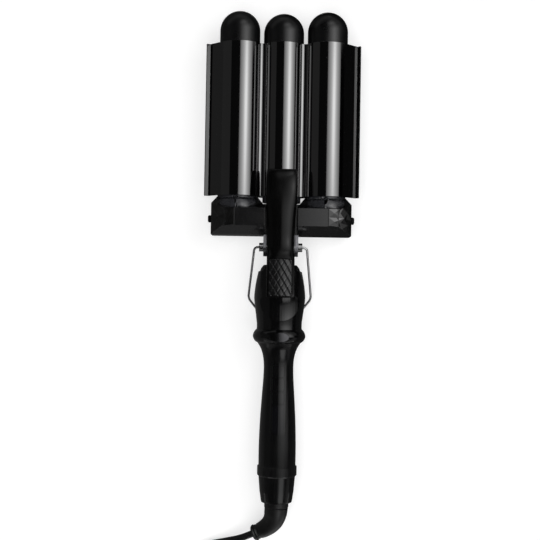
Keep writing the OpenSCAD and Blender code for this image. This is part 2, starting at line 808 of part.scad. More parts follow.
module end_plate() {
    m = len(across);
    function edge(i, j) = i == 0 || i == m - 1 || j == 0 || j == rows;
    function lift(i, j) = edge(i, j) ? 0.35 : (i + j) % 2 == 1 ? diamond_h : 0.5;
    function at(i, j, top) = (top ? 0 : m * (rows + 1)) + i * (rows + 1) + j;
    points = concat(
        [for (i = [0 : m - 1], j = [0 : rows]) plate_knot(i, j, lift(i, j))],
        [for (i = [0 : m - 1], j = [0 : rows]) plate_knot(i, j, 0)]);
    top = [for (i = [0 : m - 2], j = [0 : rows - 1]) each (i + j) % 2 == 1
        ? [[at(i, j, true), at(i, j + 1, true), at(i + 1, j + 1, true)],
            [at(i, j, true), at(i + 1, j + 1, true), at(i + 1, j, true)]]
        : [[at(i, j, true), at(i, j + 1, true), at(i + 1, j, true)],
            [at(i, j + 1, true), at(i + 1, j + 1, true), at(i + 1, j, true)]]];
    bottom = [for (i = [0 : m - 2], j = [0 : rows - 1]) each
        [[at(i, j, false), at(i + 1, j, false), at(i + 1, j + 1, false)],
            [at(i, j, false), at(i + 1, j + 1, false), at(i, j + 1, false)]]];
    ends = [for (i = [0 : m - 2]) each [
        [at(i, 0, false), at(i, 0, true), at(i + 1, 0, true), at(i + 1, 0, false)],
        [at(i, rows, true), at(i, rows, false), at(i + 1, rows, false), at(i + 1, rows, true)]]];
    flanks = [for (j = [0 : rows - 1]) each [
        [at(0, j, true), at(0, j, false), at(0, j + 1, false), at(0, j + 1, true)],
        [at(m - 1, j, false), at(m - 1, j, true), at(m - 1, j + 1, true), at(m - 1, j + 1, false)]]];
    polyhedron(points, concat(top, bottom, ends, flanks));
}

module right_end_plate() { color("#1c1c1d") end_plate(); }
module left_end_plate() { color("#1c1c1d") mirror([1, 0, 0]) end_plate(); }

// ---- Barrels ----

module barrel() {
    color("#0d0d0e") tube(barrel_r, bore_r, barrel_y, tip_y);
}

// Round hollow tip with a spigot inside the barrel
module tip(skirt) {
    color("#101010") along_y(tip_y) rotate_extrude() difference() {
        union() {
            square([barrel_r, skirt]);
            translate([0, skirt]) intersection() {
                circle(barrel_r);
                square(barrel_r);
            }
            translate([0, -spigot_len]) square([bore_r - slide_gap, spigot_len + 1]);
        }
        translate([0, -spigot_len - 1]) square([barrel_r - tip_wall - 1.6, skirt + spigot_len + 1]);
        translate([0, skirt]) intersection() {
            circle(barrel_r - tip_wall - 1.6);
            square(barrel_r);
        }
    }
}

// Heat-proof cup between crossbar and barrel
module socket(foot, flange) {
    color("#2a2c33") along_y() rotate_extrude() difference() {
        union() {
            translate([0, foot]) square([socket_r, barrel_y - foot]);
            translate([0, foot]) square([socket_r + flange, 2]);
            translate([0, barrel_y - 1]) square([bore_r - slide_gap, spigot_len + 1]);
        }
        translate([0, foot - 1]) square([bore_r - 4, big]);
    }
}

// Flat heater that clamps itself across the inside of a barrel
module heater() {
    color("#b9bcc0") difference() {
        intersection() {
            along_y(barrel_y + spigot_len + 4)
                cylinder(r = bore_r - 0.15, h = barrel_len - 2 * spigot_len - 8);
            translate([-big, -big, -4.5]) cube([2 * big, 2 * big, 9]);
        }
        translate([-8, barrel_y, -1.2]) cube([16, barrel_len - spigot_len - 8, 2.4]);
    }
}

module left_barrel() { translate([-pitch, 0, 0]) barrel(); }
module right_barrel() { translate([pitch, 0, 0]) barrel(); }
module centre_barrel() { barrel(); }
module left_tip() { translate([-pitch, 0, 0]) tip(outer_skirt); }
module right_tip() { translate([pitch, 0, 0]) tip(outer_skirt); }
module centre_tip() { tip(centre_skirt); }
module left_socket() { translate([-pitch, 0, 0]) socket(crossbar_top - socket_deep, 1.4); }
module right_socket() { translate([pitch, 0, 0]) socket(crossbar_top - socket_deep, 1.4); }
module centre_socket() { socket(crossbar_top + centre_seat, 0); }
module left_heater() { translate([-pitch, 0, 0]) heater(); }
module right_heater() { translate([pitch, 0, 0]) heater(); }
module centre_heater() { heater(); }

// ---- Wave plates ----

// Extrudes a part of a wave plate's cross-section over the length of the barrels
module plate_bar(more = 0) {
    section(barrel_y - more, tip_y + more) children();
}

// Part of a ring of sheet, between two angles
module arc_sheet(mid, a0, a1) {
    far = 3 * mid;
    steps = max(1, ceil((a1 - a0) / 60));
    intersection() {
        difference() {
            circle(mid + plate_t / 2);
            circle(mid - plate_t / 2);
        }
        polygon(concat([[0, 0]], [for (k = [0 : steps])
            let (a = a0 + (a1 - a0) * k / steps) [far * cos(a), far * sin(a)]]));
    }
}

module sheet_strip(a, b) {
    n = let (d = unit(b - a)) [-d[1], d[0]] * plate_t / 2;
    polygon([a + n, b + n, b - n, a - n]);
}

// Bend from the arch to the next barrel, with a foot that hugs it
module bend_and_foot() {
    difference() {
        union() {
            plate_bar() translate(bend_at)
                arc_sheet(bend_r + plate_t / 2, 180 + bend_a - bend_lap, 360 - foot_a[1]);
            difference() {
                plate_bar() translate([pitch, 0])
                    arc_sheet(barrel_r + plate_t / 2, 180 - foot_a[1], 180 - foot_a[0]);
                plate_bar(1) translate(bend_at) circle(bend_r + plate_t / 2);
            }
        }
        plate_bar(1) translate([pitch, 0]) circle(barrel_r);
    }
}

// Arch over an outer barrel, with the sloping skirt and its turned-up lip outside
module outer_wave_plate() {
    top = arch_r * [cos(skirt_a), sin(skirt_a)];
    slope = [cos(skirt_a + 90), sin(skirt_a + 90)];
    edge = top + skirt_len * slope;
    color("#0b0b0c") translate([-pitch, 0, 0]) {
        plate_bar() arc_sheet(arch_r, bend_a - bend_lap, skirt_a);
        bend_and_foot();
        plate_bar() sheet_strip(top, edge);
        plate_bar() translate(edge) circle(plate_t / 2, $fn = 24);
        plate_bar() sheet_strip(edge, edge + lip_len * lip_dir);
    }
}

module left_wave_plate() { outer_wave_plate(); }
module right_wave_plate() { mirror([1, 0, 0]) outer_wave_plate(); }

// Trough behind the centre barrel, carried by the two outer barrels
module rear_wave_plate() {
    color("#0b0b0c") mirror([0, 0, 1]) {
        plate_bar() arc_sheet(arch_r, bend_a - bend_lap, 180 - bend_a + bend_lap);
        bend_and_foot();
        mirror([1, 0, 0]) bend_and_foot();
    }
}

// ---- Lever ----

lever_edge = 2.4;
pad_start = [hinge_y - 9.4, 0.62 * thumb_z + 3];      // where the thumb pad's slope begins
pad_end = [hinge_y - thumb_reach, thumb_z];
pad_slope = atan2(pad_end[1] - pad_start[1], pad_start[0] - pad_end[0]);
saddle_top = barrel_r + 5.4;

// One cross-section of the lever: flat sides, rounded upper edges
module lever_rib(y, half, z_top, z_low) {
    for (s = [-1, 1]) translate([s * (half - lever_edge), y, z_top - lever_edge])
        sphere(r = lever_edge, $fn = 20);
    translate([-half, y - 0.5, z_low]) cube([2 * half, 1, z_top - lever_edge - z_low]);
}

module lever_blank() {
    half = lever_w / 2;
    wide = saddle_w / 2;
    low = channel_z + 1;
    end = barrel_y + saddle_len - lever_edge;
    hull() {
        lever_rib(end, half + 0.6, saddle_top - 2.6, low);
        lever_rib(barrel_y + 4, wide, saddle_top, low);
    }
    hull() {
        lever_rib(barrel_y + 4, wide, saddle_top, low);
        lever_rib(crossbar_top - 9, half + 0.3, saddle_top + 1.8, low);
    }
    hull() {
        lever_rib(crossbar_top - 9, half + 0.3, saddle_top + 1.8, low);
        lever_rib(hinge_y + 4, half, saddle_top + 1.2, hinge_z - 3.8);
    }
    hull() {
        lever_rib(hinge_y + 4, half, saddle_top + 1.2, hinge_z - 3.8);
        lever_rib(pad_start[0], half, pad_start[1], pad_start[1] - 6);
    }
    hull() {
        lever_rib(pad_start[0], half, pad_start[1], pad_start[1] - 6);
        lever_rib(pad_end[0] + lever_edge, half, pad_end[1] - 0.6, pad_end[1] - 4);
    }
    translate([-half, hinge_y, hinge_z]) rotate([0, 90, 0]) cylinder(r = 4.4, h = 2 * half);
}

// Moves a drawing onto the slope of the thumb pad; its top face is z = 0
module on_pad() {
    translate([0, pad_end[0], pad_end[1]]) rotate([-pad_slope, 0, 0]) children();
}

pad_len = norm(pad_start - pad_end) - 1.5;
pad_w = lever_w - 3.4;
pad_deep = 1.6;

module lever() {
    pocket = lever_w / 2 - 2.2;
    color("#1a1a1b") difference() {
        lever_blank();
        along_y(barrel_y - 0.01) cylinder(r = barrel_r, h = big);
        along_y(crossbar_y - 1.4) cylinder(r = socket_r, h = barrel_y - crossbar_y + 1.4);
        translate([-pocket, hinge_y - 6.5, -1]) cube([2 * pocket, crossbar_top - hinge_y - 3, saddle_top]);
        translate([-big, hinge_y, hinge_z]) rotate([0, 90, 0])
            cylinder(r = pin_r + slide_gap, h = 2 * big);
        on_pad() translate([0, 1.7 + pad_len / 2, -pad_deep]) linear_extrude(big)
            rounded_rect(pad_w + 0.1, pad_len + 0.1, 1.5);
    }
}

// Pad with raised diamonds, set into the thumb end of the lever
module thumb_pad() {
    cols = 4;
    lines = 7;
    dx = (pad_w - 1.4) / cols;
    dy = (pad_len - 1.6) / lines;
    color("#242426") on_pad() translate([0, 1.7 + pad_len / 2, -pad_deep]) {
        linear_extrude(pad_deep - 0.9) rounded_rect(pad_w, pad_len, 1.5);
        for (i = [0 : 2 * cols - 2], j = [0 : 2 * lines - 2]) if ((i + j) % 2 == 0)
            translate([(i + 1) * dx / 2 - cols * dx / 2, (j + 1) * dy / 2 - lines * dy / 2, pad_deep - 0.9])
                diamond(0.47 * dx, 0.47 * dy, 0.8);
    }
}

// Low pyramid on a rhombus
module diamond(a, b, h) {
    polyhedron([[a, 0, 0], [0, b, 0], [-a, 0, 0], [0, -b, 0], [0, 0, h]],
        [[0, 1, 2, 3], [0, 4, 1], [1, 4, 2], [2, 4, 3], [3, 4, 0]]);
}

// ---- Stand ----

// Bent wire; each end turns in the hollow hinge pin
module wire_stand() {
    knee = 0.667 * stand_len;
    bend = 3;
    depth = 6;      // how far the wire reaches into the pin
    upset = 0.02;   // its ends are upset to a hair over the wire's size
    side = [[pin_end - 1, 0], [stand_top, 0], [stand_wide, knee], [stand_foot, stand_len]];
    half = [for (p = side) [p[0], -p[1] * cos(fold_a), -p[1] * sin(fold_a)]];
    whole = concat(half, [for (k = [3 : -1 : 0]) [-half[k][0], half[k][1], half[k][2]]]);
    color("#b9bcc0") translate([0, hinge_y, hinge_z]) {
        sweep(rounded(whole, bend, 4), wire_r, 12, up = [0, sin(fold_a), -cos(fold_a)]);
        both_sides() translate([pin_end - depth, 0, 0]) rotate([0, 90, 0])
            cylinder(r = wire_r + upset, h = depth - 0.9);
    }
}

// ---- Cord ----

// Turning half of the swivel: neck, retaining flange and contact stem
module swivel_neck() {
    color("#161616") along_y() rotate_extrude() polygon([
        [0, -neck_drop], [neck_r - 0.2, -neck_drop], [neck_r, -neck_drop + 0.4],
        [neck_r, 2.5], [neck_r + 0.7, 2.5], [neck_r + 0.7, 4.5], [4, 4.5], [4, 12], [0, 12]]);
}

module strain_relief() {
    path = concat([[0, -neck_drop, -rest_z]], smooth(boot_route, 4));
    radii = [neck_r - 0.2, for (r = smooth([for (r = boot_radii) [r]], 4)) r[0]];
    color("#131313") sweep(path, radii, 18);
}

module cord() {
    color("#111111") sweep(cord_route, cord_r, 10);
}

// Outer shape of the coil
module cord_coil() {
    color("#111111") translate(coil_centre) rotate_extrude() translate([coil_r - coil_half, 0])
        square([2 * coil_half, coil_turns[1] * cord_d]);
}

// The end of the cord, from where it leaves the coil to the plug
module cord_tail() {
    outside = [for (p = tail_route)
        if (norm([p[0], p[1]] - coil_centre) > coil_r + coil_half + 0.8 * cord_r) p];
    color("#111111") sweep(outside, cord_r, 10);
}

// Flat two-pin plug with a tapered strain relief
module plug_body() {
    color("#151515") translate([0, plug_y, plug_z]) {
        translate([plug_x[0], 0, 0]) rotate([0, 90, 0])
            cylinder(r1 = 3.9, r2 = 5.6, h = plug_x[1] - plug_x[0]);
        translate([0, 0, -plug_z]) linear_extrude(2 * plug_z) polygon([
            [plug_x[1], -8], [plug_x[1] + 14, -10.5], [plug_x[2] - 6, -12.6], [plug_x[2], -12.6],
            [plug_x[2], 12.6], [plug_x[2] - 6, 12.6], [plug_x[1] + 14, 10.5], [plug_x[1], 8]]);
    }
}

module plug_pins() {
    color("#c9c6bd") for (s = [-1, 1]) translate([plug_x[2], plug_y + s * pin_spacing / 2, plug_z])
        rotate([0, 90, 0]) {
            cylinder(r = 2, h = 17.5);
            translate([0, 0, 17.5]) cylinder(r1 = 2, r2 = 1.3, h = 1.5);
        }
}

place() grip_front_shell();
place() grip_rear_shell();
place() head_front_shell();
place() head_rear_shell();
place() collar_ring();
place() collar_inlay();
place() end_ring();
place() end_cap();
place() swivel_contact_block();
place() shell_screws();
place() control_strip();
place() display_lens();
place() control_board();
place() power_button();
place() plus_button();
place() minus_button();
place() neck_frame();
place() hinge_bracket();
place() hinge_pin();
place() lever_spring();
place() crossbar_front_shell();
place() crossbar_rear_shell();
place() left_end_plate();
place() right_end_plate();
place() crossbar_end_screws();
place() crossbar_screws();
place() left_barrel();
place() right_barrel();
place() left_tip();
place() right_tip();
place() left_socket();
place() right_socket();
place() left_heater();
place() right_heater();
place() rear_wave_plate();
place() lever();
place() thumb_pad();
place() centre_barrel();
place() centre_tip();
place() centre_socket();
place() centre_heater();
place() left_wave_plate();
place() right_wave_plate();
place() wire_stand();
place() swivel_neck();
lay() strain_relief();
lay() cord();
lay() cord_coil();
lay() cord_tail();
lay() plug_body();
lay() plug_pins();
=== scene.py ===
import math

import bpy
from mathutils import Matrix, Vector


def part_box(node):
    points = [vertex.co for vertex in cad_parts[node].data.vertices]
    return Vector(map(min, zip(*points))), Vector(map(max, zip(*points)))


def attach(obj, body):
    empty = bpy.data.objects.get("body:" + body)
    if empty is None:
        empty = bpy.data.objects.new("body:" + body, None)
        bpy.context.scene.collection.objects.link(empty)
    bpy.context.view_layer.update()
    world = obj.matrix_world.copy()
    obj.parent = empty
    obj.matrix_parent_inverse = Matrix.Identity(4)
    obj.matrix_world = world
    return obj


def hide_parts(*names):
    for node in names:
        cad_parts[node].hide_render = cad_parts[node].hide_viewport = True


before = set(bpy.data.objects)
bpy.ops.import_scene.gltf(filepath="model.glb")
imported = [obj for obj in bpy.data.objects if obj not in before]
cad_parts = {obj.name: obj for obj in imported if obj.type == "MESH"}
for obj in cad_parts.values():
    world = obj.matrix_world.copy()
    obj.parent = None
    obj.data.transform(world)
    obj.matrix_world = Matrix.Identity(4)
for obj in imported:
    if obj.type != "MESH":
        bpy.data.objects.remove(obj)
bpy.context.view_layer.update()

MM = 0.001

# ---- Camera ----
# It stands over the lever side of the waver, which lies on its back. The barrels point up the
# picture and lean a degree to the right; the camera looks a degree towards the tips.

camera_height = 0.822           # over the axis of the grip
camera_foot = (-0.0081, -0.0238)
camera_aim = (-0.0081, -0.0092)
picture_lean = math.radians(0.975)
sensor_width = 36.0             # millimetres, like the focal length
focal_pixels, picture_pixels = 1033, 540
focal_length = sensor_width * focal_pixels / picture_pixels
barrel_low, barrel_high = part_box("left_barrel")
axis_z = (barrel_low.z + barrel_high.z) / 2

stand_point = Vector((camera_foot[0], camera_foot[1], axis_z + camera_height))
aim_point = Vector((camera_aim[0], camera_aim[1], axis_z))
back = (stand_point - aim_point).normalized()
upright = Vector((-math.sin(picture_lean), math.cos(picture_lean), 0))
right = upright.cross(back).normalized()
turn = Matrix((right, back.cross(right), back)).transposed()
bpy.ops.object.camera_add()
camera = bpy.context.object
camera.name = "camera"
camera.data.sensor_width = sensor_width
camera.data.lens = focal_length
camera.matrix_world = Matrix.Translation(stand_point) @ turn.to_4x4()
bpy.context.scene.camera = camera

# ---- Cord ----
# Round PVC cord with two cores, extruded and a little shiny. It comes out of the strain relief,
# drops to the surface and is wound into a coil of two layers; its last half turn lies round the
# coil and ends in the plug.

cord_diameter = 5.5 * MM
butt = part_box("swivel_neck")[0].y + 4 * MM        # end of the handle; the route counts from it
cord_route = [(-17, -26, 15), (-28, -31, 11.8), (-40, -34.6, 8.2), (-52, -37.8, 5.2),
              (-64, -41.8, 3.3), (-76, -46.2, 2.75)]
coil_centre = (-88, -90)
coil_columns = (41.25, 35.75, 30.25, 24.75)
coil_layers = (2.75, 8.25)
coil_steps = 20                                   # points in a turn
coil_level = 0.45                                 # share of a turn before it moves to the next
tail_route = [(-109, -53.1, 8.25), (-125, -65.4, 7.2), (-133.4, -79.4, 5.4), (-134.9, -93, 3.8),
              (-131, -108.8, 2.9), (-121.2, -123.2, 2.75), (-106, -133.4, 2.75), (-88, -137, 2.9),
              (-76, -137.2, 3.7), (-64, -136.6, 5.4), (-54, -136, 6.85)]


def coil_points():
    """The turns from the middle of the coil's upper edge, outside to inside and back on top."""
    radii = coil_columns + tuple(reversed(coil_columns))
    heights = [height for height in coil_layers for _ in coil_columns]
    points = []
    for turn_number in range(len(radii)):
        following = min(turn_number + 1, len(radii) - 1)
        for step in range(coil_steps):
            share = max(0.0, step / coil_steps - coil_level) / (1 - coil_level)
            ease = share * share * (3 - 2 * share)
            radius = radii[turn_number] * (1 - ease) + radii[following] * ease
            height = heights[turn_number] * (1 - ease) + heights[following] * ease
            angle = math.radians(90 + 360 * step / coil_steps)
            points.append((coil_centre[0] + radius * math.cos(angle),
                           coil_centre[1] + radius * math.sin(angle), height))
    return points


def from_butt(point):
    """A point of the cord's route, in metres and in the frame."""
    return (point[0] * MM, butt + point[1] * MM, point[2] * MM)


def round_bar(name, points, radius, scales=None, handles="AUTO"):
    """A Bezier curve through the points with a round section, thicker or thinner by scales."""
    bpy.ops.curve.primitive_bezier_curve_add(location=(0, 0, 0))
    bar = bpy.context.object
    bar.name = name
    bar.data.name = name
    bar.data.resolution_u = 6
    bar.data.bevel_depth = radius
    bar.data.bevel_resolution = 6
    bar.data.use_fill_caps = True
    spline = bar.data.splines[0]
    spline.bezier_points.add(len(points) - 2)
    for number, place in enumerate(points):
        knot = spline.bezier_points[number]
        knot.co = place
        knot.handle_left_type = handles
        knot.handle_right_type = handles
        knot.radius = scales[number] if scales else 1.0
    return bar


def add_node(material, kind, inputs=None, **settings):
    """Adds a shader node. An input is a value, or another node's output that is linked to it."""
    node = material.node_tree.nodes.new(kind)
    for name, value in settings.items():
        setattr(node, name, value)
    for name, value in (inputs or {}).items():
        if isinstance(value, bpy.types.NodeSocket):
            material.node_tree.links.new(value, node.inputs[name])
        else:
            node.inputs[name].default_value = value
    return node


def moulded(name, colour, roughness, grain, relief, edge=0.25, gloss=0.5, stretch=(1, 1, 1)):
    """Moulded plastic or rubber: the tool's grain, uneven gloss, and edges that aren't sharp.
    grain and edge are in millimetres, relief in micrometres."""
    blotches = 90.0                               # scale of the uneven gloss and tint
    noise_low, noise_high = 0.3, 0.7
    gloss_spread, tint_spread = 0.12, 0.15
    material = bpy.data.materials.new(name)
    material.use_nodes = True
    shader = material.node_tree.nodes["Principled BSDF"]
    link = material.node_tree.links.new
    place = add_node(material, "ShaderNodeTexCoord")
    size = add_node(material, "ShaderNodeMapping",
                    {"Vector": place.outputs["Object"], "Scale": stretch})
    fine = add_node(material, "ShaderNodeTexNoise",
                    {"Vector": size.outputs["Vector"], "Scale": 1000 / grain, "Detail": 2.0})
    broad = add_node(material, "ShaderNodeTexNoise",
                     {"Vector": place.outputs["Object"], "Scale": blotches, "Detail": 4.0})
    rounded = add_node(material, "ShaderNodeBevel", {"Radius": edge * MM}, samples=4)
    bump = add_node(material, "ShaderNodeBump",
                    {"Height": fine.outputs["Fac"], "Distance": relief * 1e-6, "Strength": 1.0,
                     "Normal": rounded.outputs["Normal"]})
    uneven = add_node(material, "ShaderNodeMapRange",
                      {"Value": broad.outputs["Fac"], "From Min": noise_low,
                       "From Max": noise_high, "To Min": roughness * (1 - gloss_spread),
                       "To Max": roughness * (1 + gloss_spread)})
    tint = add_node(material, "ShaderNodeValToRGB", {"Fac": broad.outputs["Fac"]})
    ends = ((noise_low, 1 - tint_spread), (noise_high, 1 + tint_spread))
    for stop, (position, share) in zip(tint.color_ramp.elements, ends):
        stop.position = position
        stop.color = [c * share for c in colour] + [1]
    link(tint.outputs["Color"], shader.inputs["Base Color"])
    link(uneven.outputs["Result"], shader.inputs["Roughness"])
    link(bump.outputs["Normal"], shader.inputs["Normal"])
    shader.inputs["Specular IOR Level"].default_value = gloss
    return material


def dress(piece, material):
    """Gives the piece that one material."""
    piece.data.materials.clear()
    piece.data.materials.append(material)


cord_points = [from_butt(p) for p in cord_route + coil_points() + tail_route]
cord = round_bar("cord_line", cord_points, cord_diameter / 2)
dress(cord, moulded("cord_pvc", (0.005, 0.005, 0.0055), 0.38, 0.5, 8))
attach(cord, "cord_swivel")
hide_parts("cord", "cord_coil", "cord_tail")

# ---- Strain relief ----
# Soft PVC elbow moulded onto the cord. Its wide end snaps over the swivel neck, and its mouth has
# a thick rim; three shallow rings near the mouth let it bend.

relief_line = [(0, -4.1, 20.8), (-0.4, -8.5, 20.6), (-1.6, -13.2, 19.9), (-4.4, -17.8, 18.7),
               (-8.9, -21.7, 17.3), (-13, -24, 16.1)]
relief_radii = [9.3, 9.1, 8.5, 7.7, 6.9, 6.2]
mouth_line = [(-13.8, -24.4, 15.9), (-14.6, -24.8, 15.7), (-15.4, -25.2, 15.5),
              (-16.2, -25.6, 15.3), (-17, -26, 15)]
mouth_radii = [5.5, 6.1, 5.4, 6.6, 6.3]
relief_unit = 10                                  # radius of the bar that all of them scale


def round_edges(piece, width, segments, smooth_angle):
    """Rounds the active piece's edges by some millimetres and shades the flat ones smooth."""
    bevel = piece.modifiers.new("edges", "BEVEL")
    bevel.width = width * MM
    bevel.segments = segments
    bpy.ops.object.modifier_apply(modifier="edges")
    bpy.ops.object.shade_smooth_by_angle(angle=math.radians(smooth_angle))


relief_points = [from_butt(p) for p in relief_line + mouth_line]
relief_scales = [r / relief_unit for r in relief_radii + mouth_radii]
relief = round_bar("strain_relief_elbow", relief_points, relief_unit * MM, relief_scales)
relief.data.bevel_resolution = 10
relief.data.resolution_u = 10
bpy.ops.object.convert(target="MESH")
round_edges(relief, 0.5, 3, 40)
soft_pvc = moulded("relief_pvc", (0.004, 0.004, 0.004), 0.42, 0.3, 5)
dress(relief, soft_pvc)
dress(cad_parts["swivel_neck"], soft_pvc)
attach(relief, "cord_swivel")
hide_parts("strain_relief")

# ---- Plug ----
# Two-pin plug moulded onto the cord in hard PVC: a flat body that widens towards its face, a
# ribbed relief, and two turned pins of nickel-plated brass.

plug_low, plug_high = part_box("plug_body")
plug_mid_y = (plug_low.y + plug_high.y) / 2
plug_z = (plug_low.z + plug_high.z) / 2
plug_length = 36
plug_back = plug_high.x - plug_length * MM
plug_heel = (6, 13, 11)                           # size of its block at the cord's end
# each step's length, and how much wider and thicker it makes the body
plug_steps = ((8, 1.45, 1.16), (12, 1.22, 1.05), (6, 1.06, 1.0), (3.4, 1.0, 1.0))
face_rim, face_rise = 1.2, 0.6

bpy.ops.mesh.primitive_cube_add(size=1, scale=[side * MM for side in plug_heel],
                                location=(plug_back + plug_heel[0] / 2 * MM, plug_mid_y, plug_z))
plug = bpy.context.object
plug.name = "plug_moulding"
bpy.ops.object.transform_apply()
bpy.ops.object.mode_set(mode="EDIT")
bpy.ops.mesh.select_mode(type="FACE")
bpy.ops.mesh.select_all(action="DESELECT")
bpy.ops.object.mode_set(mode="OBJECT")
for face in plug.data.polygons:
    face.select = face.normal.x > 0.9
bpy.ops.object.mode_set(mode="EDIT")
grown = plug_heel[0]
for step, widen, thicken in plug_steps:
    grown += step
    bpy.ops.mesh.extrude_region_move(TRANSFORM_OT_translate={"value": (step * MM, 0, 0)})
    bpy.ops.transform.resize(value=(1, widen, thicken),
                             center_override=(plug_back + grown * MM, plug_mid_y, plug_z))
bpy.ops.mesh.inset(thickness=face_rim * MM)
bpy.ops.transform.translate(value=(face_rise * MM, 0, 0))
bpy.ops.object.mode_set(mode="OBJECT")
round_edges(plug, 1.6, 4, 35)

rib_root = 1.2                                    # length of the disc that the ribs start from
rib_steps = [(0.5, 0.86), (1.1, 1.0), (0.5, 1.19), (1.3, 1.02)] * 4 + [(0.5, 0.88), (3.6, 1.1)]

bpy.ops.mesh.primitive_cylinder_add(
    vertices=48, radius=3.9 * MM, depth=rib_root * MM, rotation=(0, math.pi / 2, 0),
    location=(plug_low.x + rib_root / 2 * MM, plug_mid_y, plug_z))
ribs = bpy.context.object
ribs.name = "plug_ribs"
bpy.ops.object.transform_apply()
for face in ribs.data.polygons:
    face.select = face.normal.x > 0.9
bpy.ops.object.mode_set(mode="EDIT")
ribs_x = plug_low.x + rib_root * MM
for step, grow in rib_steps:
    ribs_x += step * MM
    bpy.ops.mesh.extrude_region_move(TRANSFORM_OT_translate={"value": (step * MM, 0, 0)})
    bpy.ops.transform.resize(value=(1, grow, grow), center_override=(ribs_x, plug_mid_y, plug_z))
bpy.ops.object.mode_set(mode="OBJECT")
round_edges(ribs, 0.2, 2, 35)

plug_pvc = moulded("plug_pvc", (0.005, 0.005, 0.005), 0.34, 0.4, 6)
for piece in (plug, ribs):
    dress(piece, plug_pvc)
    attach(piece, "cord_swivel")
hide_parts("plug_body")


def metal(name, colour, roughness, grain, relief, stretch=(1, 1, 1), edge=0.2):
    """Bare or plated metal: drawn, rolled or cast grain, uneven gloss, rounded edges."""
    material = moulded(name, colour, roughness, grain, relief, edge=edge, stretch=stretch)
    material.node_tree.nodes["Principled BSDF"].inputs["Metallic"].default_value = 1.0
    return material


dress(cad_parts["plug_pins"], metal("nickel_brass", (0.72, 0.66, 0.54), 0.22, 0.3, 1))

# ---- Grip ----
# Two shells of ABS with a satin finish, screwed together from the back, with a push-in end cap,
# a ring that covers the joint, and the parts that sit inside them.

satin_abs = moulded("satin_abs", (0.003, 0.003, 0.0032), 0.22, 0.22, 0.8, gloss=0.4)
for name in ("grip_front_shell", "grip_rear_shell", "end_cap"):
    dress(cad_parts[name], satin_abs)
dress(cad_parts["end_ring"], moulded("ring_abs", (0.004, 0.004, 0.0043), 0.2, 0.3, 0.6))
dress(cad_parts["shell_screws"], metal("zinc_screw", (0.52, 0.53, 0.56), 0.35, 0.2, 3))
dress(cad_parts["crossbar_screws"], bpy.data.materials["zinc_screw"])
dress(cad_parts["swivel_contact_block"],
      moulded("contact_nylon", (0.62, 0.57, 0.47), 0.5, 0.3, 4))

# ---- Controls ----
# A gloss strip let into the front of the grip, with three flush buttons and a smoked window over
# the display; the board behind it carries the switches.

piano_black = moulded("piano_black", (0.0028, 0.0028, 0.003), 0.14, 0.4, 0.3, edge=0.12)
for name in ("control_strip", "power_button", "plus_button", "minus_button"):
    dress(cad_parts[name], piano_black)
smoked_window = moulded("smoked_window", (0.004, 0.004, 0.005), 0.06, 0.6, 0.1, edge=0.12)
dress(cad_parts["display_lens"], smoked_window)
dress(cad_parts["control_board"], moulded("board_lacquer", (0.02, 0.1, 0.04), 0.4, 0.3, 8))

# ---- Collar and head ----
# The collar ring clamps the shells of grip and head; a smooth inlay sits in its front. The head is
# two gloss shells, dished under the thumb pad.

gloss_abs = moulded("gloss_abs", (0.0022, 0.0022, 0.0024), 0.15, 0.3, 0.4)
for name in ("head_front_shell", "head_rear_shell", "collar_ring"):
    dress(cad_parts[name], gloss_abs)
dress(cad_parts["collar_inlay"],
      metal("smoked_chrome", (0.085, 0.085, 0.09), 0.24, 0.9, 30, stretch=(1, 0.12, 0.12)))

# ---- Neck, bracket and pin ----
# A die-cast core carries the crossbar. The bracket is bent from steel sheet; its ears hold the
# hinge pin, a drilled stud with two heads, and the lever spring turns on the pin.

dress(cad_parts["neck_frame"], metal("die_casting", (0.32, 0.32, 0.33), 0.48, 0.35, 14))
dress(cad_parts["hinge_bracket"],
      metal("rolled_sheet", (0.36, 0.36, 0.38), 0.36, 0.25, 3, stretch=(1, 0.15, 1)))
bright_steel = metal("bright_steel", (0.66, 0.66, 0.67), 0.16, 0.3, 1)
dress(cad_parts["hinge_pin"], bright_steel)
dress(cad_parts["lever_spring"], bright_steel)

# ---- Wire stand ----
# One length of bright steel wire, bent cold round a small mandrel. Its ends turn in the bores of
# the hinge pin, and it lies folded against the back of the head.

pin_low, pin_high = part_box("hinge_pin")
hinge = (pin_low + pin_high) / 2
stand_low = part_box("wire_stand")[0]
wire_radius = 0.9 * MM
stand_bend = 3 * MM                               # from a corner to where its bend starts
bend_pull = 0.6                                   # how far the handles reach to the corner
knee_share = 0.755                                # of the way from the hinge down to the foot
stand_foot = Vector((15 * MM, stand_low.y + wire_radius, wire_radius))
down = Vector((0, stand_foot.y - hinge.y, stand_foot.z - hinge.z))
stand_knee = Vector((25.3 * MM, hinge.y, hinge.z)) + down * knee_share
stand_shoulder = Vector((pin_high.x + 3.6 * MM, hinge.y, hinge.z))
stand_end = Vector((pin_high.x - 6 * MM, hinge.y, hinge.z))

